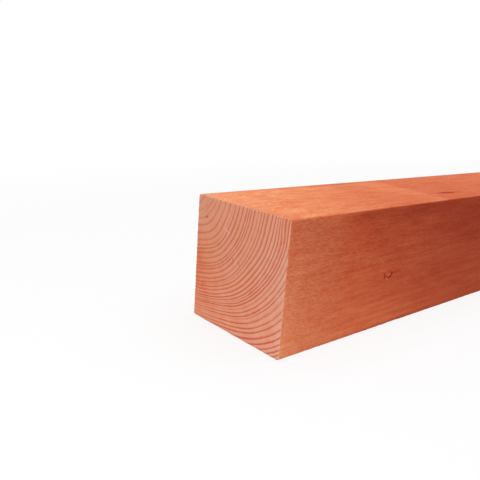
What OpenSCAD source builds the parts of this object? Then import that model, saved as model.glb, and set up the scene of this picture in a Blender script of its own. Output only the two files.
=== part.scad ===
// Square timber garden post, sawn from one length of softwood.
// It lies along X on one of its four long faces, with the foot end at -X,
// the head end at +X, and the origin on the middle of its underside.

/* [Timber] */
// Length of the post
post_length = 2400; // [600:50:6000]
// Width of the section, across Y
post_width = 150; // [75:1:300]
// Height of the section, up Z
post_height = 150; // [75:1:300]

/* [Edges] */
// Radius of the eased arris along each long edge
arris_radius = 2; // [0.5:0.5:12]

/* [Hidden] */
timber_colour = "#d98a66";
arc_facets = 48;

// Section in the YZ plane, standing on Z = 0: two crossed rectangles and a
// quarter round at each corner, so the four faces stay flat up to the arris.
module section() {
    side = post_width / 2 - arris_radius;
    translate([-side, 0])
        square([2 * side, post_height]);
    translate([-post_width / 2, arris_radius])
        square([post_width, post_height - 2 * arris_radius]);
    for (y = [-side, side], z = [arris_radius, post_height - arris_radius])
        translate([y, z])
            circle(r = arris_radius, $fn = arc_facets);
}

// The whole length, cross-cut square at both ends.
module post() {
    color(timber_colour)
        translate([-post_length / 2, 0, 0])
            rotate([90, 0, 90])
                linear_extrude(height = post_length)
                    section();
}

post();
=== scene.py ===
# %% [markdown]
# # Finishing a square garden post
#
# The post is one length of softwood, sawn on four faces and cut square at both
# ends. The solid model already fixes its size and place. This lesson gives it
# the look of real timber: growth rings on the ends, long grain on the faces,
# a knot or two, worn edges and the soft fuzz that a fine saw leaves.
#
# The frame comes first, because every later length is measured from it.

# %% Load the fixed frame
import itertools
import math

import bpy
import numpy as np
from mathutils import Matrix, Vector


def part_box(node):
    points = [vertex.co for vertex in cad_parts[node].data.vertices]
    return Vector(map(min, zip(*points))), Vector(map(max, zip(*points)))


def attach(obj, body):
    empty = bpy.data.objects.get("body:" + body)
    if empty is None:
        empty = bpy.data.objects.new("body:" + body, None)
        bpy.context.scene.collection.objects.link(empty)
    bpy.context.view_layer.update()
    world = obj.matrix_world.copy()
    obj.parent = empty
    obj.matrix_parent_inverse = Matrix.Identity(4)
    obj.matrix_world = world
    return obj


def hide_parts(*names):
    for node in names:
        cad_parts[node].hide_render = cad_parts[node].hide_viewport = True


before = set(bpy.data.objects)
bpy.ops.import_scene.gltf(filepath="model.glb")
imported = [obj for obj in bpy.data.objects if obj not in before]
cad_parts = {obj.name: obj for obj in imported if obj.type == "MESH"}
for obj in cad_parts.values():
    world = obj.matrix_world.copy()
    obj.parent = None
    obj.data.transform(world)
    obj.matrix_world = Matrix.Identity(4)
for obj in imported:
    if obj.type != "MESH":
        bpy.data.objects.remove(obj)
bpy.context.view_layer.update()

MM = 0.001
low, high = (np.array(corner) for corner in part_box("post"))
length, width, height = high - low
print("post, in millimetres:", np.round((high - low) / MM, 1))

# %% [markdown]
# ## Camera
#
# The eye is close to the foot end of the post, a little above it and to one
# side, as when someone crouches down to read the growth rings. Three distances
# from the bottom corner nearest the eye place the camera. It could be aimed at
# one point of the wood, but that leaves out the roll of a hand-held look. A
# heading, a dip and a slight roll aim it here, and each can be set alone.

# %% Place the camera
EYE_OUT = 377 * MM
EYE_ASIDE = 356 * MM
EYE_UP = 260 * MM
HEADING = math.radians(50.6)
DIP = math.radians(17.1)
ROLL = math.radians(3.4)
LENS = 41
SHIFT_RIGHT = 0.04
SHIFT_UP = 0.05

camera_data = bpy.data.cameras.new("eye")
camera_data.lens = LENS
camera_data.shift_x = SHIFT_RIGHT
camera_data.shift_y = SHIFT_UP
camera = bpy.data.objects.new("eye", camera_data)
bpy.context.collection.objects.link(camera)
bpy.context.scene.camera = camera

near_corner = Vector((low[0], low[1], low[2]))
aim = (
    Matrix.Rotation(HEADING - math.pi / 2, 4, "Z")
    @ Matrix.Rotation(math.pi / 2 - DIP, 4, "X")
    @ Matrix.Rotation(ROLL, 4, "Z")
)
eye = near_corner + Vector((-EYE_OUT, -EYE_ASIDE, EYE_UP))
camera.matrix_world = Matrix.Translation(eye) @ aim
print("camera stands at", [round(c, 3) for c in camera.location])

# %% [markdown]
# ## Writing shader sums as Python
#
# A material is a graph of small nodes. Placing them one by one makes even a
# short formula hard to read, so one class wraps a socket and lets ordinary
# Python operators add the Math nodes. Anything that isn't a sum, such as a
# noise or a colour ramp, comes from one method that takes the kind of node,
# its settings and what goes into its sockets. So a finish reads like a recipe.

# %% A socket that understands sums
BARE_WOOD_GLOSS = 0.15


class Wire:
    """An output socket of a node tree. Sums on it add Math nodes."""

    def __init__(self, board, socket):
        self.board = board
        self.socket = socket

    def math(self, operation, *others):
        """One Math node on this value and others."""
        settings = {"operation": operation}
        values = dict(enumerate((self, *others)))
        return self.board.node("ShaderNodeMath", settings, values)

    def __add__(self, other):
        return self.math("ADD", other)

    __radd__ = __add__

    def __sub__(self, other):
        return self.math("SUBTRACT", other)

    def __rsub__(self, other):
        return (self * -1) + other

    def __mul__(self, other):
        return self.math("MULTIPLY", other)

    __rmul__ = __mul__

    def __truediv__(self, other):
        return self.math("DIVIDE", other)

    def step(self, start, end):
        """0 below start, 1 above end, and a smooth rise between them."""
        settings = {"interpolation_type": "SMOOTHSTEP"}
        values = {0: self, 1: start, 2: end}
        return self.board.node("ShaderNodeMapRange", settings, values)


class Board:
    """The node tree of one material or of the world."""

    def __init__(self, owner):
        owner.use_nodes = True
        self.tree = owner.node_tree
        self.tree.nodes.clear()

    def node(self, kind, settings=None, inputs=None, output=0):
        """Adds a node, sets it, fills its sockets, and returns one of its outputs."""
        node = self.tree.nodes.new(kind)
        for name, value in (settings or {}).items():
            if name == "stops":
                self.set_stops(node.color_ramp, value)
            else:
                setattr(node, name, value)
        for key, value in (inputs or {}).items():
            if isinstance(value, Wire):
                self.tree.links.new(value.socket, node.inputs[key])
            else:
                node.inputs[key].default_value = value
        return Wire(self, node.outputs[output]) if len(node.outputs) else node

    @staticmethod
    def set_stops(ramp, stops):
        """Places the colours of a ramp."""
        while len(ramp.elements) < len(stops):
            ramp.elements.new(0.5)
        for element, (position, colour) in zip(ramp.elements, stops):
            element.position = position
            element.color = colour

    def mix(self, share, first, second, blend="MIX"):
        """A colour: first where share is 0, second where it is 1."""
        settings = {"data_type": "RGBA", "blend_type": blend, "clamp_factor": True}
        colours = {0: share, 6: first, 7: second}
        return self.node("ShaderNodeMix", settings, colours, output=2)

    def vector(self, operation, inputs, output="Vector"):
        """A sum on whole vectors or colours."""
        settings = {"operation": operation}
        return self.node("ShaderNodeVectorMath", settings, inputs, output)

    def noise(self, place, stretch, detail=2.0, roughness=0.5):
        """Soft random values around 0.5.

        stretch is the size of a patch along each axis, in metres.
        """
        scaled = self.vector("MULTIPLY", {0: place, 1: tuple(1 / s for s in stretch)})
        values = {"Vector": scaled, "Scale": 1.0, "Detail": detail, "Roughness": roughness}
        return self.node("ShaderNodeTexNoise", {}, values)

    def finish(self, colour, roughness, relief, strength, depth):
        """The dull skin of bare wood: a colour and a relief of a given depth in metres."""
        heights = {"Strength": strength, "Distance": depth, "Height": relief}
        values = {
            "Base Color": colour,
            "Roughness": roughness,
            "Specular IOR Level": BARE_WOOD_GLOSS,
            "Normal": self.node("ShaderNodeBump", {}, heights),
        }
        shader = self.node("ShaderNodeBsdfPrincipled", {}, values)
        self.node("ShaderNodeOutputMaterial", {}, {"Surface": shader})


def paint(red, green, blue):
    """A colour from a paint chart, 0 to 255, as the linear colour that shaders use."""
    chart = np.array([red, green, blue]) / 255
    linear = np.where(chart <= 0.04045, chart / 12.92, ((chart + 0.055) / 1.055) ** 2.4)
    return (*(round(float(c), 4) for c in linear), 1.0)


print("a mid wood colour, linear:", paint(212, 140, 110))

# %% [markdown]
# ## Floor, backdrop and light
#
# Timber is shown on a plain white sweep, so that only its own colour is seen.
# Stronger lamps would whiten the floor too, but they would bleach the wood.
# The floor is a real surface that takes the post's soft shadow. Where the eye
# sees it, most of its brightness comes from itself, so it reads as white without
# any more light falling on the wood. Further off, outside an oval round the post,
# it is plain white like the sky, so no horizon shows. As a light, the sky is
# dimmer than it looks.
#
# Four soft boxes light the post: a large one over each end, and a small one low
# beside each, so that the sawn ends are lit as well.

# %% Lay the floor and light it
FLOOR_REACH = 30.0
SKY_LIGHT = 0.45
GLOW = 0.82
OVAL_LENGTH = 2.2
PLAIN_FROM = 0.6
PLAIN_TO = 1.5
FLOOR_WHITE = paint(247, 247, 247)
PURE_WHITE = (1, 1, 1, 1)


def looked_at(board):
    """1 where the eye sees a surface, straight, as a reflection or through glass."""
    seen = board.node("ShaderNodeLightPath", output="Is Camera Ray")
    for ray in ("Is Glossy Ray", "Is Transmission Ray"):
        seen = seen.math("MAXIMUM", board.node("ShaderNodeLightPath", output=ray))
    return seen


bpy.ops.mesh.primitive_plane_add(size=2 * FLOOR_REACH, location=(0, 0, float(low[2])))
floor = bpy.context.object
floor.name = "floor"
floor_paint = bpy.data.materials.new("white_floor")
board = Board(floor_paint)
matt = board.node("ShaderNodeBsdfDiffuse", {}, {"Color": FLOOR_WHITE})
glow = board.node("ShaderNodeEmission", {}, {"Color": PURE_WHITE, "Strength": 1.0})
place = board.node("ShaderNodeTexCoord", output="Object")
oval = board.vector("MULTIPLY", {0: place, 1: (1 / OVAL_LENGTH, 1, 1)})
away = board.vector("LENGTH", {0: oval}, output="Value")
glow_share = looked_at(board) * (GLOW + away.step(PLAIN_FROM, PLAIN_TO) * (1 - GLOW))
surface = board.node("ShaderNodeMixShader", {}, {0: glow_share, 1: matt, 2: glow})
board.node("ShaderNodeOutputMaterial", {}, {"Surface": surface})
floor.data.materials.append(floor_paint)

world = bpy.data.worlds.new("white_room")
bpy.context.scene.world = world
board = Board(world)
room = board.node("ShaderNodeBackground", {}, {"Color": PURE_WHITE, "Strength": SKY_LIGHT})
white = board.node("ShaderNodeBackground", {}, {"Color": PURE_WHITE, "Strength": 1.0})
surface = board.node("ShaderNodeMixShader", {}, {0: looked_at(board), 1: room, 2: white})
board.node("ShaderNodeOutputWorld", {}, {"Surface": surface})
print("floor and sky are white where they are looked at, and the sky lights at", SKY_LIGHT)

# %% Hang the soft boxes
HIGH_SIZE = 2.5
LOW_SIZE = 0.6
FOOT_POWER = 30.5
HEAD_POWER = 14
LOW_POWER = 5.2
INWARDS = 0.4
OVERHEAD = (-0.1, 2.5)
BESIDE = (0.95, 0.48, 0.55)


def softbox(name, place, target, size, power):
    """A square lamp at place that faces target."""
    lamp = bpy.data.lights.new(name, "AREA")
    lamp.shape = "SQUARE"
    lamp.size = size
    lamp.energy = power
    holder = bpy.data.objects.new(name, lamp)
    bpy.context.collection.objects.link(holder)
    holder.location = place
    holder.rotation_euler = (target - place).to_track_quat("-Z", "Y").to_euler()


foot = Vector((float(low[0]), 0, float(height / 2)))
head = Vector((float(high[0]), 0, float(height / 2)))
for name, end, side, power in (("foot", foot, 1, FOOT_POWER), ("head", head, -1, HEAD_POWER)):
    target = end + Vector((INWARDS * side, 0, 0))
    softbox("over_the_" + name, end + Vector((INWARDS * side, *OVERHEAD)), target, HIGH_SIZE, power)
for name, end, side in (("by_the_eye", foot, -1), ("by_the_head", head, 1)):
    out, aside, up = BESIDE
    softbox(name, end + Vector((out * side, aside * side, up)), end, LOW_SIZE, LOW_POWER)

# %% [markdown]
# ## A random field that repeats each time
#
# Wood is never quite regular: rings wander, tones drift, edges chip. A noise
# texture could move the points, but its values can't be added to sums in Python.
# One smooth random field drives all of it instead. Random numbers sit on a coarse
# lattice, and each place blends the eight around it. A seed makes every run give
# the same timber.

# %% A smooth random field
LATTICE = 32


def drift(places, cell, seed):
    """Values from -1 to 1 at each place. A cell, (x, y, z) in metres, is the size of a patch."""
    lattice = np.random.default_rng(seed).uniform(-1, 1, (LATTICE, LATTICE, LATTICE))
    scaled = places / np.array(cell)
    base = np.floor(scaled).astype(int)
    blend = scaled - base
    blend = blend * blend * (3 - 2 * blend)
    total = np.zeros(len(places))
    for corner in itertools.product((0, 1), repeat=3):
        share = np.prod(np.where(corner, blend, 1 - blend), axis=1)
        i, j, k = ((base + corner) % LATTICE).T
        total += share * lattice[i, j, k]
    return total


def ease(value, start, end):
    """0 below start, 1 above end, and a smooth rise between them."""
    share = np.clip((value - start) / (end - start), 0, 1)
    return share * share * (3 - 2 * share)


def ripple(value, middle, half):
    """1 at the middle, fading to 0 over a little more than one half width."""
    return np.exp(-(((value - middle) / half) ** 2))


sample = np.array([[0.0, 0, 0], [0.5, 0, 0], [1, 1, 1]])
print("three samples:", np.round(drift(sample, (1, 1, 1), 1), 2))

# %% [markdown]
# ## How the tree grew
#
# The post is a quarter of the trunk, so the heart of the tree lies just outside
# one corner. Every year added a ring: pale spring wood, then a thin dark line of
# summer wood. The widths below are in millimetres from the heart outwards, each
# with the depth of its summer line from 0 to 10 towards the upper face and towards
# the lower one, because a line often fades on the way round. The first entry
# stands for the faint years round the heart. Later on, the tree grew less on the
# side towards the ground than on the other, so the rings flatten there.
#
# On both sides the rings also stray a little. Each bend is a distance from the
# heart, a half width and how far the rings move towards the heart, in millimetres.
# The summer lines are a little wider towards the ground too.
#
# A flat pattern of arcs could be laid on each end and one of stripes on each
# face, but they would never meet. Here the ring count is worked out at any point
# inside the trunk. The same sum then gives the arcs on the ends and the long grain
# on the faces, and they meet at the edges as they do in real timber.

# %% Growth rings
RINGS = [
    (24.2, 3.5, 3), (8.2, 1.5, 4), (4, 5, 0), (6, 3, 4), (9, 5, 5), (9.5, 5, 5), (8.5, 6.5, 4),
    (6, 2, 5.5), (4, 9.5, 6.5), (5, 6.5, 5.5), (6, 7, 5), (6, 7, 5), (3, 7, 6), (3.5, 6.5, 5),
    (5.5, 8, 5.5), (6, 4, 5.5), (4.5, 6, 7), (3, 6.5, 1), (4, 6.5, 7.5), (5, 8.5, 5.5), (5.5, 9.5, 6.5),
    (5, 8.5, 10), (4.5, 8.5, 6.5), (3, 7, 1), (3, 8, 8), (3.5, 11, 9), (4.5, 4, 2), (4.5, 6, 8),
    (5, 6, 8.5), (3, 6.5, 0.5), (6, 3.5, 9), (6.5, 4.5, 9), (5.5, 5.5, 9.5), (7.5, 5.5, 9),
    (6.5, 7.5, 9), (6, 6, 7), (5, 8, 8), (4.5, 7, 7), (4, 7, 7), (5, 8, 8), (4, 6, 6), (5.5, 8, 8),
    (4.5, 7, 7), (4, 8, 8),
]
BENDS = {
    "upper": [
        (42, 6, -2.2), (66, 8, 1.1), (77, 4.5, 2.0), (90, 7, 0.8), (114, 7, 1.2),
        (130, 6, -1.5), (145, 3, 0.8), (152, 4, -0.8),
    ],
    "lower": [
        (77, 7, 0.7), (103, 7, -0.6), (139, 9, -2.2), (186, 10, 1.2),
    ],
}
HEART_OUT = 10 * MM
HEART_UP = 9 * MM
SLOW_FROM = 118 * MM
TAPER = 0.004
BULGE = 1.0 * MM
FLATTENING = 3.0 * MM
LAST_RINGS_IN = 3 * MM
WIDE_STRAY = 0.55 * MM
FINE_STRAY = 0.20 * MM
LOW_SIDE_WIDER = 0.25
SUMMER_PEAK = 0.9


def heart_line(x):
    """Where the heart passes at each x. It bends a little, as trunks do."""
    along = x - low[0]
    y = high[1] + HEART_OUT + 3 * MM * np.sin(along * 2.1) + 5 * MM * ease(along, 0, 3)
    z = high[2] + HEART_UP + 3 * MM * np.sin(along * 1.4)
    return y, z


def growth(places):
    """How far the tree had grown at each place, and the turn round the heart.

    The turn is 0 degrees level with the heart and 90 straight below it.
    """
    heart_y, heart_z = heart_line(places[:, 0])
    across = heart_y - places[:, 1]
    down = heart_z - places[:, 2]
    radius = np.hypot(across, down)
    turn = np.degrees(np.arctan2(down, across))

    # The rings bulge near the upper side and are flattened near the lower one.
    swell = BULGE * ease(36 - turn, 0, 20) - FLATTENING * ease(turn, 48, 78)
    swell = swell * ease(radius, 10 * MM, 50 * MM)
    grown = radius - swell

    # The outer rings lie closer together the nearer they are to the lower side.
    slowing = -0.12 - 0.25 * np.tanh((turn - 56) / 20)
    grown = np.where(grown > SLOW_FROM, (grown + slowing * SLOW_FROM) / (1 + slowing), grown)

    # The bends of each side, the crowded last rings under the upper face, and chance.
    sides = {"upper": 1 - ease(turn, 22, 42), "lower": ease(turn, 50, 72)}
    straight = grown / MM
    for side, bends in BENDS.items():
        for distance, half, stray in bends:
            grown = grown + stray * MM * sides[side] * ripple(straight, distance, half)
    grown += LAST_RINGS_IN * (1 - ease(turn, 5, 15)) * ease(radius, 139 * MM, 147 * MM)
    grown += TAPER * (places[:, 0] - low[0])
    grown += WIDE_STRAY * drift(places, (0.5, 0.022, 0.022), 11)
    grown += FINE_STRAY * drift(places, (0.08, 0.006, 0.006), 12)
    grown += knot_swirl(places)
    return grown, turn


def years(places):
    """The rings from the heart, the depth of the summer line and its share of the ring."""
    grown, turn = growth(places)
    widths, upper_depths, lower_depths = np.array(RINGS, float).T
    edges = np.concatenate([[0], np.cumsum(widths)]) * MM
    count = np.interp(grown, edges, np.arange(len(edges)))
    lines = np.arange(len(widths)) + SUMMER_PEAK
    upper_depth = np.interp(count, lines, upper_depths / 10)
    lower_depth = np.interp(count, lines, lower_depths / 10)
    depth = upper_depth + (lower_depth - upper_depth) * ease(turn, 34, 64)
    shares = (1.05 + 0.09 * widths) / widths
    share = np.interp(count, lines, shares) * (1 + LOW_SIDE_WIDER * ease(turn, 58, 80))
    return count, depth, share


print("rings listed:", len(RINGS), "widest, in millimetres:", max(ring[0] for ring in RINGS[1:]))

# %% [markdown]
# ## Knots
#
# A knot is the root of a branch. The rings run round it, so the grain swirls,
# and a dark ring of bark or resin parts it from the trunk. On the two faces far
# from the heart a branch is cut across and shows as a small round. On the two
# near it the branch is cut at a slant and shows as a longer oval. A knot could be
# a piece of its own, set into a hole, but then the rings wouldn't run round it.
#
# Each knot is one line: the face, its distance from the foot, its place across
# the face, its half sizes along and across the grain, and how clear its rim is.

# %% Where the knots are
KNOTS = [
    ("front", 177, 66, 7.5, 4.8, 0.12),
    ("front", 640, 104, 8, 6, 1),
    ("front", 1130, 42, 11, 8, 1),
    ("front", 1710, 88, 7, 5, 1),
    ("front", 2090, 58, 9, 7, 1),
    ("upper", 890, 38, 7, 14, 1),
    ("upper", 1520, 96, 8, 17, 1),
    ("upper", 2170, 60, 6, 9, 1),
    ("back", 520, 66, 7, 13, 1),
    ("back", 1340, 40, 9, 16, 1),
    ("back", 1960, 92, 6, 10, 1),
    ("lower", 760, 90, 9, 7, 1),
    ("lower", 1650, 52, 8, 6, 1),
]
KNOT_DEPTH = 20 * MM
KNOT_BULGE = 7 * MM
FAR_AWAY = 50.0
FACE_AXES = {
    "front": (low[1], 1, 2, low[2]),
    "back": (high[1], 1, 2, low[2]),
    "lower": (low[2], 2, 1, low[1]),
    "upper": (high[2], 2, 1, low[1]),
}


def knot_offsets(places):
    """The offset of each place from its nearest knot, its length, and how clear the knot is.

    An offset counts half sizes along and across the grain, then the depth in the wood.
    """
    nearest = np.full((len(places), 3), FAR_AWAY)
    reach = np.full(len(places), FAR_AWAY)
    rim = np.zeros(len(places))
    for face, along, across, half_along, half_across, clear in KNOTS:
        level, deep_axis, across_axis, across_start = FACE_AXES[face]
        u = (places[:, 0] - low[0] - along * MM) / (half_along * MM)
        v = (places[:, across_axis] - across_start - across * MM) / (half_across * MM)
        deep = np.abs(places[:, deep_axis] - level) / KNOT_DEPTH
        distance = np.hypot(u, v) + deep
        closer = distance < reach
        reach = np.where(closer, distance, reach)
        nearest[closer] = np.stack([u, v, deep], 1)[closer]
        rim[closer] = clear
    return nearest, reach, rim


def knot_swirl(places):
    """How much less the tree seems to have grown round each knot, as the rings bulge there."""
    offsets, _, _ = knot_offsets(places)
    stretched = np.hypot(offsets[:, 0] / 2.4, offsets[:, 1] / 1.3) + offsets[:, 2]
    return -KNOT_BULGE * np.exp(-stretched * stretched)


sample = np.array([[low[0], low[1], low[2]], [low[0], low[1], high[2]], [high[0], high[1], low[2]]])
print("rings at three corners:", np.round(years(sample)[0], 1))

# %% [markdown]
# ## The outline of the section
#
# The section is a square with its four edges eased to a small radius. A bevelled
# box has the same shape, but no points on its faces that a relief could move. So
# the outline is walked once round: a flat, a quarter round, the next flat. Points
# every millimetre and a half let the relief of the rings show. Further down the
# post every second point is enough, because nothing there is seen from close by.

# %% Walk round the section
ARRIS = 2.0 * MM
FLAT_STEPS = 96
ARRIS_STEPS = 4


def section_outline():
    """Points and their outward directions, from the lower front edge round under the post."""
    half_y = width / 2 - ARRIS
    half_z = height / 2 - ARRIS
    middle = height / 2
    corners = [(-half_y, -half_z), (half_y, -half_z), (half_y, half_z), (-half_y, half_z)]
    normals = [(0, -1), (1, 0), (0, 1), (-1, 0)]
    places, outward = [], []
    for side in range(4):
        start = np.array(corners[side])
        end = np.array(corners[(side + 1) % 4])
        normal = np.array(normals[side], float)
        turned = np.array(normals[(side + 1) % 4], float)
        for share in np.arange(FLAT_STEPS) / FLAT_STEPS:
            places.append(start + (end - start) * share + normal * ARRIS)
            outward.append(normal)
        for share in np.arange(ARRIS_STEPS) / ARRIS_STEPS:
            angle = share * math.pi / 2
            direction = normal * math.cos(angle) + turned * math.sin(angle)
            places.append(end + direction * ARRIS)
            outward.append(direction)
    places = np.array(places) + [0, middle + low[2]]
    return places, np.array(outward)


outline, outward = section_outline()
LOOP = len(outline)
print("points round the section:", LOOP)

# %% [markdown]
# ## Rows along the post
#
# The section is repeated in rows along the post. Even rows would be either too
# coarse at the foot or too many in all. So the first 450 mm carry the detail, with
# a row every 3 mm and a few closer ones at the sawn edge. After that a row every
# 30 mm keeps the mesh light.

# %% Choose the rows
DETAIL_REACH = 450 * MM
DETAIL_STEP = 3 * MM
PLAIN_STEP = 30 * MM

edge_rows = np.array([0, 0.7, 1.6]) * MM
detail_rows = np.arange(DETAIL_STEP, DETAIL_REACH + DETAIL_STEP / 2, DETAIL_STEP)
plain_count = round((length - DETAIL_REACH) / PLAIN_STEP)
plain_rows = np.linspace(DETAIL_REACH, length, plain_count + 1)[1:]
fine_x = low[0] + np.concatenate([edge_rows, detail_rows])
plain_x = low[0] + plain_rows
print("close rows:", len(fine_x), "plain rows:", len(plain_x))

# %% [markdown]
# ## Points of the mesh
#
# The skin is built row by row. One large face could close each end, but it has
# nothing for the relief of the rings to move. So both ends are filled with a
# regular grid whose lines continue the points of the outline, and the whole body
# is one closed surface with no gaps. A strip as wide as the eased edge joins the
# grid to the outline.

# %% Make the points
def skin_points(x_rows, loop_points, loop_outward):
    """The outline repeated at each row, and the outward direction at each point."""
    x = np.repeat(x_rows, len(loop_points))
    yz = np.tile(loop_points, (len(x_rows), 1))
    facing = np.tile(loop_outward, (len(x_rows), 1))
    return np.column_stack([x, yz]), np.column_stack([np.zeros(len(x)), facing])


def cap_points(x, steps):
    """A grid over the flat part of an end, row by row upwards."""
    y = np.linspace(-width / 2 + ARRIS, width / 2 - ARRIS, steps + 1)
    z = np.linspace(low[2] + ARRIS, high[2] - ARRIS, steps + 1)
    grid_z, grid_y = np.meshgrid(z, y, indexing="ij")
    return np.column_stack([np.full(grid_y.size, x), grid_y.ravel(), grid_z.ravel()])


half_outline, half_outward = outline[::2], outward[::2]
fine_skin, fine_facing = skin_points(fine_x, outline, outward)
plain_skin, plain_facing = skin_points(plain_x, half_outline, half_outward)
foot_cap = cap_points(low[0], FLAT_STEPS)
head_cap = cap_points(high[0], FLAT_STEPS // 2)

starts = np.cumsum([0, len(fine_skin), len(plain_skin), len(foot_cap)])
FINE_START, PLAIN_START, FOOT_START, HEAD_START = (int(s) for s in starts)
points = np.concatenate([fine_skin, plain_skin, foot_cap, head_cap])
no_direction = np.zeros((len(foot_cap) + len(head_cap), 3))
inward = -np.concatenate([fine_facing, plain_facing, no_direction])
print("points:", len(points))

# %% [markdown]
# ## Faces of the mesh
#
# Blender's own tools can bridge two loops only if they have the same number of
# points, so the faces are listed here. Each pair of rows is stitched with a ring
# of four-sided faces. Where the close rows meet the plain ones, two short edges
# meet one long edge, so three triangles fill each gap. The ends get their grids,
# the strip round each grid and a small fan in every rounded corner.

# %% Stitch the faces
faces = []
face_kind = []
LONG, END = 0, 1


def stitch_rows(start, rows, loop):
    """Four-sided faces between each row of points and the next."""
    for row in range(rows - 1):
        first = start + row * loop
        for i in range(loop):
            j = (i + 1) % loop
            faces.append((first + i, first + loop + i, first + loop + j, first + j))
            face_kind.append(LONG)


def join_loops(fine_start, coarse_start):
    """Triangles between a close row and a plain one, which has half as many points."""
    for k in range(LOOP // 2):
        f0, f1, f2 = (fine_start + (2 * k + n) % LOOP for n in range(3))
        a = coarse_start + k
        b = coarse_start + (k + 1) % (LOOP // 2)
        faces.extend([(f0, a, f1), (f1, a, b), (f1, b, f2)])
        face_kind.extend([LONG] * 3)


def fill_end(loop_start, cap_start, flat_steps, arris_steps, facing_out):
    """Grid, strip and corner fans of one end. facing_out is -1 at the foot and 1 at the head."""
    across = flat_steps + 1
    side = flat_steps + arris_steps
    loop = 4 * side

    def add(*corners):
        faces.append(corners if facing_out > 0 else corners[::-1])
        face_kind.append(END)

    for row in range(flat_steps):
        for i in range(flat_steps):
            a = cap_start + row * across + i
            add(a, a + 1, a + 1 + across, a + across)
    last = flat_steps
    edge = [
        [i for i in range(across)],
        [i * across + last for i in range(across)],
        [last * across + last - i for i in range(across)],
        [(last - i) * across for i in range(across)],
    ]
    for k in range(4):
        for i in range(flat_steps):
            a = loop_start + k * side + i
            add(a, a + 1, cap_start + edge[k][i + 1], cap_start + edge[k][i])
        hub = cap_start + edge[k][last]
        for i in range(arris_steps):
            a = loop_start + k * side + flat_steps + i
            b = loop_start + (k * side + flat_steps + i + 1) % loop
            add(a, b, hub)


stitch_rows(FINE_START, len(fine_x), LOOP)
join_loops(FINE_START + (len(fine_x) - 1) * LOOP, PLAIN_START)
stitch_rows(PLAIN_START, len(plain_x), LOOP // 2)
fill_end(FINE_START, FOOT_START, FLAT_STEPS, ARRIS_STEPS, -1)
last_row = PLAIN_START + (len(plain_x) - 1) * (LOOP // 2)
fill_end(last_row, HEAD_START, FLAT_STEPS // 2, ARRIS_STEPS // 2, 1)
triangles = sum(len(face) - 2 for face in faces)
print("faces:", len(faces), "triangles:", triangles)

# %% [markdown]
# ## Relief
#
# A saw tears soft spring wood a little deeper than the hard summer lines, so the
# rings stand out by a tenth of a millimetre, on faces that wave by a few tenths.
# Edges lose splinters when posts are stacked, one of them has a nick, and a knot
# shrinks away from the wood round it. Bump in the material could fake all this, but
# it leaves every edge straight. So the points themselves move, and only inwards:
# that takes wood away and never passes the true size.

# %% Cut the relief
RING_RELIEF = 0.10 * MM
WAVES = 0.12 * MM
SAW_ROUGHNESS = 0.06 * MM
KNOT_RIM = 0.40 * MM
ARRIS_WEAR = 0.7 * MM
NICK_BELOW_TOP = 17.5 * MM
NICK_DEPTH = 1.1 * MM
NICK_HALF = 1.8 * MM
END_RELIEF = 0.05 * MM
TORN_EDGE = 0.7 * MM

count, summer_depth, summer_share = years(points)
season = count % 1
summer = ease(season, 1 - 1.75 * summer_share, 1 - 0.45 * summer_share) * summer_depth
offsets, knot_reach, knot_rim = knot_offsets(points)

is_arris = np.minimum(np.abs(inward[:, 1]), np.abs(inward[:, 2])) > 0.01
depth = RING_RELIEF * (1 - summer)
depth += WAVES * (1 + drift(points, (0.14, 0.05, 0.05), 21))
depth += SAW_ROUGHNESS * (1 + drift(points, (0.012, 0.004, 0.004), 22))
broken = ease(drift(points, (0.006, 0.006, 0.006), 27), -0.3, 0.5)
depth += KNOT_RIM * broken * knot_rim * np.exp(-((knot_reach - 0.95) ** 2) / 0.05)
wear = np.clip(drift(points, (0.025, 0.3, 0.3), 23) - 0.25, 0, 1)
wear = wear + 0.4 * np.clip(drift(points, (0.006, 0.3, 0.3), 24), 0, 1)
depth += np.where(is_arris, ARRIS_WEAR * wear, 0)

nick_z = high[2] - NICK_BELOW_TOP
from_nick = np.hypot(points[:, 0] - low[0], (points[:, 2] - nick_z)) + np.abs(points[:, 1] - low[1])
depth += NICK_DEPTH * np.exp(-((from_nick / NICK_HALF) ** 2))

end_depth = END_RELIEF * (1 - summer) + END_RELIEF * (1 + drift(points, (1, 0.003, 0.003), 25))
on_foot = (points[:, 0] - low[0]) < 0.01 * MM
on_head = (high[0] - points[:, 0]) < 0.01 * MM
rim = np.minimum(points[:, 1:] - low[1:], high[1:] - points[:, 1:]).min(axis=1)
torn = np.clip(drift(points, (1, 0.004, 0.004), 26) + 0.3, 0, 1) * (1 - summer)
torn *= 0.3 + 0.7 * (points[:, 2] - low[2]) / height
end_depth += np.where(rim < 0.5 * MM, TORN_EDGE * torn, 0)

moved = points + inward * depth[:, None]
moved[:, 0] += np.where(on_foot, end_depth, 0) - np.where(on_head, end_depth, 0)
print("deepest relief, in millimetres:", round(float(depth.max() / MM), 2))

# %% [markdown]
# ## The body as one mesh
#
# The points and faces become one closed mesh, as the real post is one length of
# wood. It could be joined from six sides, but then each edge would be a seam. The
# faces are shaded smooth, except where two meet at a sharp angle.

# %% Build the mesh
mesh = bpy.data.meshes.new("post_wood")
mesh.from_pydata(moved.tolist(), [], faces)
mesh.polygons.foreach_set("material_index", face_kind)
mesh.polygons.foreach_set("use_smooth", [True] * len(faces))
mesh.update()
mesh.set_sharp_from_angle(angle=math.radians(50))
post = bpy.data.objects.new("post_wood", mesh)
bpy.context.collection.objects.link(post)
edge_of_corner = np.empty(len(mesh.loops), np.int64)
mesh.loops.foreach_get("edge_index", edge_of_corner)
print("mesh is closed:", bool((np.bincount(edge_of_corner) == 2).all()))

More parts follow.
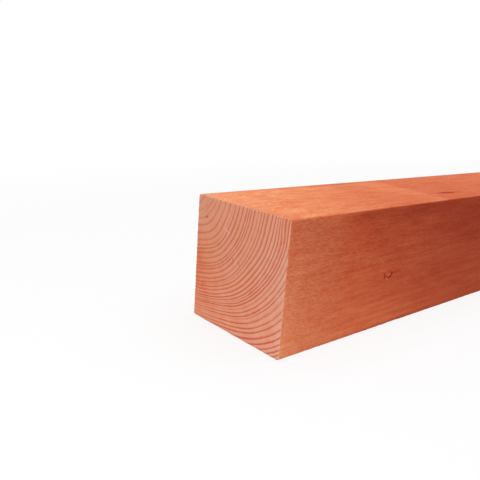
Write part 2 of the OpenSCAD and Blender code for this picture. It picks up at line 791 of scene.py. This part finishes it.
# %% [markdown]
# ## Redness
#
# The wood runs from pale orange to deep red. The upper face is painted paler
# and the front face redder: this difference is painted light, standing in for
# the light from above that falls more on the upper face than on the side. The
# ends are paler than the front face too. The front face is redder than the rest,
# most of all high up and a hand's width away from the end. One number from 0,
# pale, to 1, deep red, says this for every point.
#
# A colour could be painted on each point by hand, but it would have to be done
# again after each change of the mesh. So each face has a plain rule of its own, and
# soft stains are laid over it. One of them, a redder strip along the back edge of
# the upper face, is painted shade. Each stain is its distance from the foot, its
# place down or across the face, its half sizes along and across, all in
# millimetres, and how much redder it is.
#
# In the stack a spacer stick lay across the upper face, a little askew. It left a
# paler band there, and the wood beyond it is redder.

# %% Stains, and one painted shade, of the two faces in sight
STAINS_AND_SHADE = {
    "front": [
        (120, 6, 20, 4, 0.13), (63, 6, 24, 8, -0.08), (251, 7, 22, 7, 0.14),
        (146, 29, 16, 8, 0.07), (194, 65, 24, 5, 0.07), (40, 12, 12, 5, 0.04),
        (88, 101, 22, 6, 0.05), (246, 106, 20, 6, 0.07), (17, 61, 12, 9, -0.04),
        (166, 119, 30, 6, -0.05), (43, 128, 26, 8, -0.03), (120, 113, 18, 5, -0.05),
        (215, 46, 16, 6, -0.05), (269, 126, 26, 6, 0.05), (135, 61, 14, 5, -0.03),
        (190, 134, 60, 12, -0.10), (200, 12, 30, 9, 0.05), (252, 21, 15, 7, -0.10),
        (198, 90, 12, 3, 0.05), (80, 136, 70, 10, -0.04),
    ],
    "upper": [
        (55, 50, 12, 9, 0.06), (82, 57, 9, 4, -0.07), (74, 82, 10, 6, 0.07),
        (103, 76, 8, 6, 0.05), (53, 104, 6, 5, 0.07), (30, 101, 7, 6, 0.05),
        (61, 66, 7, 5, -0.04), (39, 121, 9, 5, -0.06), (47, 141, 9, 5, -0.07),
        (10, 144, 7, 6, 0.05), (136, 125, 20, 12, 0.09), (194, 115, 28, 16, 0.08),
        (154, 75, 16, 9, 0.08), (103, 131, 12, 6, 0.05), (189, 27, 20, 12, -0.06),
        (241, 28, 9, 6, 0.08), (228, 38, 9, 5, 0.06), (287, 21, 20, 20, -0.07),
        (279, 60, 18, 12, -0.08), (313, 85, 9, 14, -0.08), (224, 81, 26, 12, 0.05),
        (283, 92, 12, 8, 0.06), (256, 116, 15, 10, 0.08), (286, 121, 10, 6, 0.08),
        (305, 121, 9, 5, -0.09), (350, 44, 16, 14, -0.05), (379, 34, 16, 10, -0.04),
        # The first stain on the next line, at 242 mm and 8 mm in from the back, is painted shade along
        # the back edge.
        (242, 8, 60, 5, 0.15), (93, 26, 40, 14, -0.04), (60, 12, 12, 7, 0.10),
        (170, 24, 34, 9, -0.11), (8, 30, 9, 16, -0.10), (250, 74, 18, 10, -0.08),
        (58, 45, 9, 8, 0.08), (60, 100, 10, 40, 0.06), (8, 131, 9, 9, 0.07),
        (300, 25, 18, 9, 0.10), (200, 143, 20, 6, 0.11), (200, 32, 14, 9, -0.06),
        (254, 142, 16, 6, -0.14), (30, 144, 10, 6, -0.10), (8, 72, 8, 12, -0.04),
    ],
}
print("stains:", {face: len(stains) for face, stains in STAINS_AND_SHADE.items()})

# %% Work out the redness
STICK_FROM = 0.250
STICK_TO = 0.322
STICK_TURN = 0.22
STICK_WANDER = 4 * MM
STICK_EDGE = 0.008
REDDER_INWARDS_REACH = 0.22
REDDER_INWARDS = 0.62
PALER_FAR_OFF = 0.34

along = points[:, 0] - low[0]
from_end = np.minimum(along, high[0] - points[:, 0])
up = (points[:, 2] - low[2]) / height
over = (points[:, 1] - low[1]) / width


def stain_and_shade_depth(face):
    """The sum of all stains of one face, with the painted shade among them, at every point."""
    down = (1 - up if face == "front" else 1 - over) * width / MM
    total = np.zeros(len(points))
    for x, y, half_x, half_y, more in STAINS_AND_SHADE[face]:
        total += more * ripple(along / MM, x, half_x) * ripple(down, y, half_y)
    return total


redder_inwards = REDDER_INWARDS * (1 - np.exp(-from_end / REDDER_INWARDS_REACH))
redder_inwards = redder_inwards - PALER_FAR_OFF * ease(from_end, 0.35, 0.8)

# The front face is redder high up, and pale in its lower corner. At the cut it is
# paler still: a painted highlight along the edge where the end meets it.
# Painted shade: the front face starts redder than the upper face, as less of the light from above falls
# on it.
front_red = 0.26 + 0.30 * up + redder_inwards + stain_and_shade_depth("front")
front_red -= 0.10 * (1 - ease(along, 0.005, 0.030)) * ease(1 - up, 0.35, 0.6)
# Painted highlight: a pale sliver on the front face in the last 2 mm before the cut.
front_red -= 0.15 * (1 - ease(along, 0.0003, 0.0022))

# The upper face is redder towards the front, inwards and beyond the spacer stick.
stick_to = STICK_TO - STICK_TURN * (1 - over) * width + STICK_WANDER * drift(points, (1, 0.02, 1), 33)
past_stick = ease(along, stick_to - STICK_EDGE, stick_to + STICK_EDGE)
under_stick = ease(along, STICK_FROM, STICK_FROM + 0.03) * (1 - past_stick)
beyond = past_stick * (1 - ease(along, 0.5, 0.9))
# Painted light: the upper face starts paler than the front, as the light from above falls on it most.
upper_red = 0.04 + 0.14 * (1 - over) + 0.26 * ease(from_end, 0.03, 0.24) - 0.06 * under_stick
upper_red += 0.12 * beyond + stain_and_shade_depth("upper")

# The back and the underside follow the front face, without its stains.
back_red = 0.30 + 0.8 * redder_inwards + 0.10 * (1 - up)
lower_red = 0.40 + 0.8 * redder_inwards

# The ends are reddest half way up beside the back, and palest low down in front.
# Their lowest strip is painted paler: painted light, lifting the shade near the floor.
end_red = 0.45 + 0.40 * ripple(over, 1.0, 0.22) * ripple(up, 0.42, 0.26)
end_red += 0.07 * ease(over, 0.45, 0.8) * ripple(up, 0.6, 0.35)
end_red -= 0.18 * ripple(over, 0.13, 0.16) * ripple(up, 0.72, 0.2)
# Painted light: the last term makes the lowest strip of each end paler where the floor shades it.
end_red -= 0.12 * ease(1 - over, 0.55, 1.0) * ease(1 - up, 0.1, 0.5) + 0.12 * ease(1 - up, 0.84, 1.0)

# Each point takes its own face's redness, and two faces share the points of an arris.
facing = np.column_stack([inward[:, 1], -inward[:, 2], -inward[:, 1], inward[:, 2]])
shares = np.clip(facing, 0, 1) ** 2
on_cap = shares.sum(axis=1) < 0.5
redness = (shares * np.column_stack([front_red, upper_red, back_red, lower_red])).sum(axis=1)
redness = np.where(on_cap, end_red, redness)
slow_drift = drift(points, (0.35, 0.06, 0.06), 31)
quick_drift = drift(points, (0.07, 0.02, 0.02), 32)
redness += 0.04 * slow_drift + 0.03 * quick_drift
print("redness from", round(float(redness.min()), 2), "to", round(float(redness.max()), 2))

# %% [markdown]
# ## The run of the grain
#
# Grain never runs dead straight. It wanders a few millimetres over the length of
# an arm, and it parts round every knot like water round a stone. The pattern of
# the long faces is laid along this wandering line, so each point carries a
# place in the grain as well as its place in space. The same sums could be made
# with nodes, but they would need hundreds, worked out again for every ray.
#
# All that the material has to know at a point goes along with it under a name:
# the ring count, the depth and share of the summer line, the redness, the places
# in the grain and the place relative to the nearest knot. They change slowly, so
# the surface between the points stays exact.
#
# Near the ends the saw drags the fibres a little downwards, so the finest fuzz
# lies at a slant to the grain there. It gets a slanted copy of the same places.
#
# Half way between two knots the nearest one changes, and the place relative to it
# jumps. A knot is drawn only close to its own middle, so a third number grows with
# the distance and keeps that jump from showing.

# %% Follow the grain
def grain_places():
    """The points, moved sideways so that straight patterns on them follow the real grain."""
    wander = 2.5 * MM * drift(points, (0.30, 0.2, 0.2), 41)
    wander = wander + 0.8 * MM * drift(points, (0.09, 0.06, 0.06), 42)
    stretched = np.exp(-((offsets[:, 0] / 3.2) ** 2) - np.abs(offsets[:, 1]) / 2.4 - offsets[:, 2])
    part = -6.0 * MM * np.sign(offsets[:, 1]) * stretched * np.minimum(np.abs(offsets[:, 1]), 1)
    moved_by = (wander + part) * (1 - on_cap)
    return points + np.column_stack([np.zeros(len(points)), moved_by, moved_by])


def carry(name, values):
    """Stores one number or one vector for each point of the mesh under a name."""
    kind, field = ("FLOAT", "value") if values.ndim == 1 else ("FLOAT_VECTOR", "vector")
    layer = mesh.attributes.new(name, kind, "POINT")
    layer.data.foreach_set(field, values.ravel().astype(np.float32))


KNOT_FIELD = 9
knot_places = np.clip(offsets, -KNOT_FIELD, KNOT_FIELD)
knot_places[:, 2] += KNOT_FIELD * ease(knot_reach, 4, 7)

SLANT = 0.20
SLANT_REACH = 80 * MM
MOST_REDNESS = 1.2
grain = grain_places()
slide = SLANT * SLANT_REACH * (1 - np.exp(-along / SLANT_REACH))
slanted = grain + np.outer(slide, [0, 1, 1])
CARRIED = {
    "ring": count,
    "summer_depth": summer_depth,
    "summer_share": summer_share,
    "redness": np.clip(redness, 0, MOST_REDNESS),
    "grain": grain,
    "slanted": slanted,
    "knot": knot_places,
    "knot_rim": knot_rim,
    "near_end": 1 - ease(from_end, 30 * MM, 120 * MM),
    "mid_post": ease(from_end, 380 * MM, 800 * MM),
    "front": shares[:, 0],
    "upper": shares[:, 1],
}
for name, values in CARRIED.items():
    carry(name, values)
print("carried:", list(CARRIED))

# %% [markdown]
# ## Unfolding the surface
#
# Other programs need the finish as flat pictures, so the surface is unfolded
# into one square. An automatic unfolding would scatter the faces in small pieces.
# Here the four long faces become four strips, and the two ends get a large square
# each, because the rings need the most detail. The foot end of the strips gets
# more room than the rest, as that is where the post is looked at.

# %% Unfold it into one square
SHEET = 1024
END_SIDE = 400
GAP = 3
STRIP = (SHEET - END_SIDE) / 4
FOOT_SHARE = 0.40


def strip_u(x):
    """The share of a strip's length at each x."""
    return np.interp(x, [low[0], low[0] + DETAIL_REACH, high[0]], [0, FOOT_SHARE, 1])


loops = np.empty(len(mesh.loops), np.int64)
mesh.loops.foreach_get("vertex_index", loops)
sizes = np.array([len(face) for face in faces])
kinds = np.repeat(face_kind, sizes)
loop_face = np.repeat(np.arange(len(faces)), sizes)
corner = points[loops]
middle = np.add.reduceat(corner, np.concatenate([[0], np.cumsum(sizes)[:-1]])) / sizes[:, None]
middle = middle[loop_face]

y, z = corner[:, 1] - low[1], corner[:, 2] - low[2]
to_low, to_high = middle - low, high - middle
to_face = np.column_stack([to_low[:, 1], to_high[:, 1], to_low[:, 2], to_high[:, 2]])
strip = to_face.argmin(axis=1)
position = np.where(strip < 2, z / height, y / width)
u = (GAP + strip_u(corner[:, 0]) * (SHEET - 2 * GAP)) / SHEET
v = (strip * STRIP + GAP + position * (STRIP - 2 * GAP)) / SHEET
is_head = middle[:, 0] > 0
end_u = (np.where(is_head, SHEET / 2, 0) + GAP + y / width * END_SIDE) / SHEET
end_v = (4 * STRIP + GAP + z / height * (END_SIDE - 2 * GAP)) / SHEET
uv = np.where((kinds == END)[:, None], np.column_stack([end_u, end_v]), np.column_stack([u, v]))
sheet = mesh.uv_layers.new(name="OFBake")
sheet.data.foreach_set("uv", uv.ravel().astype(np.float32))
print("unfolded between", np.round(uv.min(axis=0), 3), "and", np.round(uv.max(axis=0), 3))

# %% [markdown]
# ## Small marks
#
# Real boards carry a few marks that no noise can give: a dot of resin, a pale
# scratch, a short check in the end. A scanned board could bring them along, but
# not to their right places. So each is a dash between two places on a face, in
# millimetres along or across it and down it, with a soft edge. A dot is a very
# short dash. The tone is above 0 for a pale mark and below 0 for a dark one.

# %% Shader helpers for reading values and drawing dashes
def read(board, name, output="Fac"):
    """What the points of the mesh carry under a name: a number, or the Vector."""
    return board.node("ShaderNodeAttribute", {"attribute_name": name}, output=output)


def dash(board, across, down, start, end, half_width):
    """1 on a dash between two places given in millimetres, falling to 0 round it."""
    start, end = np.array(start, float), np.array(end, float)
    middle = (start + end) / 2
    half_length = float(np.hypot(*(end - start)) / 2) + half_width
    direction = (end - start) / max(np.hypot(*(end - start)), 1e-6)
    off_across = across - float(middle[0])
    off_down = down - float(middle[1])
    run_across, run_down = (float(part) for part in direction)
    lengthwise = (off_across * run_across + off_down * run_down) / half_length
    sideways = (off_down * run_across - off_across * run_down) / half_width
    reach = (lengthwise * lengthwise + sideways * sideways).math("SQRT")
    return 1 - reach.step(0.45, 1.15)


def all_dashes(board, across, down, marks):
    """The sum of all marks of a face: each mark is start, end, half width and tone."""
    total = None
    for start, end, half_width, tone in marks:
        mark = dash(board, across, down, start, end, half_width) * tone
        total = mark if total is None else total + mark
    return total


def face_places(board):
    """Distances in millimetres from the foot end, from the back face and from the upper face."""
    place = board.node("ShaderNodeTexCoord", output="Object")
    axes = board.node("ShaderNodeSeparateXYZ", {}, {0: place}).socket.node
    x, y, z = (Wire(board, axes.outputs[name]) for name in "XYZ")
    return (x - float(low[0])) / MM, (float(high[1]) - y) / MM, (float(high[2]) - z) / MM


print("helpers ready:", [helper.__name__ for helper in (read, dash, all_dashes, face_places)])

# %% [markdown]
# ## End grain
#
# The sawn end shows every ring as an arc. The share of a year that has passed
# picks the tone: pale from spring, then a quick rise to a dark summer line and a
# hard stop where the winter was. A ready-made wood texture draws even rings, which
# look printed, so the line comes from the ring count that each point carries.
#
# A slow drift in tone makes some lines deep and some faint, but none is ever quite
# as dark as the summer wood's own colour. A fine grit stands for the cut fibres.
# Air has dulled the upper half a little. The lower part is painted slightly warmer
# and lighter: painted light, lifting the shade it gets near the floor.
# Towards one lower corner the arcs are rubbed faint, and the saw has left slanted
# lines there.

# %% Marks of the sawn ends
END_MARKS = [
    ((16, 24.3), (17.8, 23.8), 1.5, -0.7),
    ((16.3, 11.8), (17, 11.5), 1.1, -0.35),
    ((49.5, 29.8), (60, 35.2), 0.8, 0.6),
    ((44, 67), (51, 71), 0.9, -0.35),
    ((66, 60), (69, 64), 1.0, -0.4),
    ((77, 63), (79, 67), 1.2, -0.35),
    ((96, 96), (102, 88), 1.1, -0.35),
    ((105, 112), (110, 110), 0.9, -0.3),
    ((138, 27), (142, 24), 1.0, -0.3),
]
print("small marks on a sawn end:", len(END_MARKS))

# %% Finish of the sawn ends
SAW_PITCH = 1.5
DEEPEST_LINE = 0.86
SPRING_TONES = [
    (0.0, paint(227, 180, 161)),
    (0.35, paint(224, 156, 128)),
    (0.7, paint(223, 142, 106)),
    (1.0, paint(216, 121, 80)),
]
SUMMER_WOOD = paint(197, 75, 42)
DULLED = paint(170, 127, 104)
DULLED_SHARE = 0.22
WARM_PAINTED_LIGHT = (1.05, 1.02, 1.0, 1.0)
END_DARK_MARK = paint(165, 62, 35)
END_PALE_MARK = paint(238, 184, 160)


def summer_line(ring, share):
    """1 on the dark line of each year. It starts softly and stops hard."""
    year = ring.math("FRACT")
    rise = year.step(1 - share * 1.85, 1 - share * 0.50)
    return rise * (1 - year.step(0.98, 1.0))


def saw_marks(across, down):
    """Fine slanted lines in the lower corner of the end, and how strongly it shows them."""
    corner = (1 - across.step(12, 24)) * down.step(137, 142)
    slope = across * 0.77 + down * 0.64
    lines = (slope * (2 * math.pi / SAW_PITCH)).math("SINE")
    return lines, corner


def end_grain():
    """The material of both sawn ends."""
    wood = bpy.data.materials.new("end_grain")
    board = Board(wood)
    place = board.node("ShaderNodeTexCoord", output="Object")
    _, across, down = face_places(board)
    wobble = board.noise(place, (0.02, 0.005, 0.005)) - 0.5
    grit = board.noise(place, (0.002, 0.0011, 0.0011))
    cloud = board.noise(place, (0.05, 0.016, 0.016), detail=3.0)
    patch = board.noise(place, (0.05, 0.006, 0.006))

    # How dark the summer line is.
    saw_line, saw_corner = saw_marks(across, down)
    rubbed = (1 - across.step(25, 70)) * down.step(122, 146)
    faint_low = (1 - across.step(50, 105)) * down.step(90, 130)
    depth = read(board, "summer_depth") * (0.48 + cloud * 0.60 + patch * 0.60)
    depth = depth * (1 - saw_corner * 0.7) * (1 - rubbed * 0.35) * (1 - faint_low * 0.14)
    depth = (depth * (0.8 + grit * 0.4)).math("MINIMUM", DEEPEST_LINE)
    ring = read(board, "ring") + wobble * 0.12 + (grit - 0.5) * 0.10
    line = summer_line(ring, read(board, "summer_share")) * depth

    # The spring wood, the line on it, the dulled top, the painted light low down and the marks.
    red = read(board, "redness") + (cloud - 0.5) * 0.6 + (grit - 0.5) * 0.50 + (patch - 0.5) * 0.32
    red = red + saw_corner * (0.16 + saw_line * 0.10)
    spring = board.node("ShaderNodeValToRGB", {"stops": SPRING_TONES}, {"Fac": red})
    colour = board.mix(line, spring, SUMMER_WOOD)
    colour = board.mix((1 - down.step(30, 135)) * DULLED_SHARE, colour, DULLED)
    # Painted light: red is raised on the lower part of the end, where the floor shades it.
    colour = board.mix(down.step(108, 144), colour, WARM_PAINTED_LIGHT, "MULTIPLY")
    marks = all_dashes(board, across, down, END_MARKS)
    colour = board.mix(marks * -1, colour, END_DARK_MARK)
    colour = board.mix(marks, colour, END_PALE_MARK)

    board.finish(colour, roughness=0.9, relief=line * 0.3 + grit * 0.6, strength=0.08, depth=0.0004)
    return wood


end_wood = end_grain()
print("material:", end_wood.name, "nodes:", len(end_wood.node_tree.nodes))

# %% [markdown]
# ## Long grain
#
# On the long faces the same rings run nearly side by side, but a fine saw leaves
# a fuzz that hides most of their contrast. What the eye reads is the fuzz: short
# pale fibres over a redder ground, drawn out along the grain, on top of wide
# soft bands. Away from the ends the fuzz is flatter, so the years show as long
# faint lines.
#
# One noise can't be short and long at once, so four are added, from the fuzz to
# the widest mottle. The redness picks the ground colour from a scale of five
# tones. A paler fibre isn't just lighter: it gains more green and blue than red,
# and a darker one loses them again, on the upper face even more so. In the lower
# half of the front face the fuzz is calmer and the wider streaks count for more.
# Near the end that face is a little dusty, and low down it has dried paler.
#
# The marks are placed one by one. The knot's broken rim and the resin streaks are
# darkened with a deep red, as resin soaks into the wood. Three dark marks on the
# front face are darkened the same way but are painted shade: the shadow trailing
# the knot, a thin line along the lower eased edge and a wide patch far along the
# face. Pale marks only step back on the scale of tones. The other wide faint ones
# make the two faces lighter or darker in patches.

# %% Marks of the long faces
FRONT_MARKS = [
    # Painted shade: a thin dark line along the lower eased edge, which turns away from the light.
    ((6, 147.4), (330, 147.6), 1.8, -0.12),
    ((108, 66.5), (138, 66), 2.5, 0.10),
    ((205, 46.5), (236, 46.5), 3, -0.12),
    ((12, 142.7), (270, 142.7), 3.4, 0.22),
    ((222, 109.5), (250, 109), 3, 0.10),
    ((160, 79), (176, 79), 2.2, -0.10),
    ((176, 130.5), (200, 130.5), 3, -0.10),
    # Painted shade: a wide dark patch where the face falls darker further along.
    ((270, 66), (292, 112), 13, -0.12),
    ((168.5, 81.1), (168.4, 84.9), 1.6, -0.75),
    ((168.6, 84.9), (171.3, 88.3), 1.4, -0.75),
    ((170.7, 82.7), (172.1, 85.5), 1.1, -0.5),
    ((172.1, 85.5), (177.6, 87.5), 1.2, -0.65),
    ((177.6, 87.5), (181.7, 85.7), 1.4, -0.85),
    ((181.7, 85.7), (183.1, 82.5), 1.6, -0.85),
    ((181.9, 81.9), (183.5, 82.1), 2.4, -0.6),
    ((175.9, 80.3), (181.1, 80.5), 1.2, -0.45),
    # Painted shadow: a dark trail to the right of the knot.
    ((184.6, 82.3), (201.1, 81.7), 2.8, -0.42),
    ((174.5, 83.5), (176.5, 84.3), 2.4, 0.13),
    ((171.9, 87.1), (175.3, 89.1), 1.2, 0.65),
    ((159.1, 76), (165.9, 77.7), 1.4, 0.26),
    ((165.9, 77.7), (173.1, 79.5), 1.3, 0.32),
    ((205.6, 31.2), (207, 31.2), 1.4, 0.4),
    ((202.6, 30.5), (203, 33), 0.8, -0.4),
    ((214.4, 100), (216.4, 100), 1.9, 0.32),
    ((232, 37.5), (235, 37.5), 1.2, 0.35),
    ((159, 65), (164, 66), 1.0, 0.3),
    ((154, 61.5), (159, 62), 1.0, 0.3),
]
UPPER_MARKS = [
    ((318, 114), (330, 114.5), 4.5, -0.5),
    ((331, 115), (352, 116), 7, -0.9),
    ((352, 117), (372, 119), 4.5, -0.4),
    ((72, 61), (98, 60), 8, 0.13),
    ((60, 97), (78, 97), 6, 0.14),
    ((152, 46), (198, 55), 11, 0.16),
    ((225, 66), (250, 62), 9, 0.14),
    ((195, 112), (218, 110), 5, 0.20),
    ((172, 16), (200, 14), 6, -0.12),
    ((78, 125), (100, 122), 7, -0.12),
    ((132, 116), (160, 113), 6, -0.13),
    ((225, 143), (262, 143), 5, -0.12),
    ((222, 127), (248, 125), 5, -0.10),
    ((375, 48), (430, 56), 12, -0.10),
]
print("marks on the front and upper faces:", len(FRONT_MARKS), len(UPPER_MARKS))

# %% Finish of the long faces
GROUND_TONES = [
    (0.0, paint(246, 163, 118)),
    (0.25, paint(229, 132, 87)),
    (0.5, paint(214, 108, 68)),
    (0.75, paint(190, 83, 49)),
    (1.0, paint(160, 57, 29)),
]
DUST = paint(165, 125, 98)
DUST_SHARE = 0.15
DRIED_PALE = paint(235, 190, 170)
DRIED_SHARE = 0.035
RESIN_AND_SHADE_RED = (0.60, 0.14, 0.02, 1.0)
FRONT_FIBRE = (0.22, 1.0, 1.32, 1.0)
UPPER_FIBRE = (0.14, 1.0, 1.6, 1.0)
FIBRE_CONTRAST = 1.9


def knot_redness(board):
    """How much redder the wood is in the core of a knot and on its broken rim."""
    knot = read(board, "knot", "Vector")
    uneven = board.noise(knot, (0.7, 0.7, 0.7))
    reach = board.vector("LENGTH", {0: knot}, output="Value")
    reach = reach + (uneven - 0.5) * 0.5
    branch_years = (reach * 18).math("SINE")
    core = (1 - reach.step(0.80, 1.05)) * (0.20 + branch_years * 0.05)
    rim = reach.step(0.70, 0.95) * (1 - reach.step(1.0, 1.35)) * uneven.step(0.40, 0.62)
    return (rim * 0.26 + core) * read(board, "knot_rim")


def long_grain():
    """The material of the four long faces."""
    wood = bpy.data.materials.new("long_grain")
    board = Board(wood)
    along, across, down = face_places(board)
    near_end, mid_post = read(board, "near_end"), read(board, "mid_post")
    front, upper = read(board, "front"), read(board, "upper")
    grain, slanted = read(board, "grain", "Vector"), read(board, "slanted", "Vector")
    fuzz = board.noise(slanted, (0.0065, 0.0016, 0.0016), roughness=0.6)
    fibre = board.noise(grain, (0.030, 0.0016, 0.0016))
    streak = board.noise(grain, (0.080, 0.005, 0.005))
    mottle = board.noise(grain, (0.030, 0.009, 0.009))
    figure = board.noise(grain, (0.60, 0.004, 0.004)) - 0.5
    wobble = board.noise(grain, (0.05, 0.004, 0.004)) - 0.5

    # How red the ground is.
    ring = read(board, "ring") + wobble * 0.5
    line = summer_line(ring, read(board, "summer_share")) * read(board, "summer_depth")
    marks = all_dashes(board, along, down, FRONT_MARKS) * front
    marks = marks + all_dashes(board, along, across, UPPER_MARKS) * upper
    red = read(board, "redness") + line * (0.05 + mid_post * 0.13)
    red = red + figure * mid_post * 0.22 - marks.math("MAXIMUM", 0) * 0.5
    red = red + knot_redness(board)
    colour = board.node("ShaderNodeValToRGB", {"stops": GROUND_TONES}, {"Fac": red})

    # Dust, the dried lower part, and resin with the painted shade marks.
    dusty = near_end * front * (1 - down.step(70, 130) * 0.65)
    dried = near_end * front * down.step(70, 110)
    colour = board.mix(dusty * DUST_SHARE, colour, DUST)
    colour = board.mix(dried * DRIED_SHARE, colour, DRIED_PALE)
    colour = board.mix(marks * -1, colour, RESIN_AND_SHADE_RED, "MULTIPLY")

    # How pale each fibre is, above 0 or below it.
    lower_half = down.step(55, 90) * front * (1 - near_end)
    pale = (fuzz - 0.5) * (0.60 + near_end * (0.22 + upper * 0.32) + upper * 0.18 - lower_half * 0.20)
    pale = pale + (fibre - 0.5) * (0.50 - near_end * 0.22 - upper * 0.10 - lower_half * 0.16)
    pale = pale - (streak - 0.5) * (0.28 - near_end * 0.10 + lower_half * 0.12)
    pale = pale - (mottle - 0.5) * (0.30 + upper * 0.22 - near_end * front * 0.20)
    contrast = FIBRE_CONTRAST - upper * 0.4 + near_end * front * 0.15 - dried * 0.6
    hue = board.mix(upper, FRONT_FIBRE, UPPER_FIBRE)
    swing = board.vector("SCALE", {0: hue, "Scale": pale * contrast})
    colour = board.vector("MULTIPLY_ADD", {0: colour, 1: swing, 2: colour})

    relief = fuzz * 0.8 + line * 0.2 + fibre * 0.3
    board.finish(colour, roughness=0.85, relief=relief, strength=0.25, depth=0.0006)
    return wood


long_wood = long_grain()
print("material:", long_wood.name, "nodes:", len(long_wood.node_tree.nodes))

# %% [markdown]
# ## Putting the wood on the post
#
# The dressed body takes the place of the plain solid and moves with it. The plain
# solid could stay inside, but it would show through wherever wood was taken away.
# A finish must never change the size.

# %% Dress the post and finish
post.data.materials.append(long_wood)
post.data.materials.append(end_wood)
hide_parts("post")
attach(post, "root")

bpy.context.scene.view_settings.view_transform = "Standard"
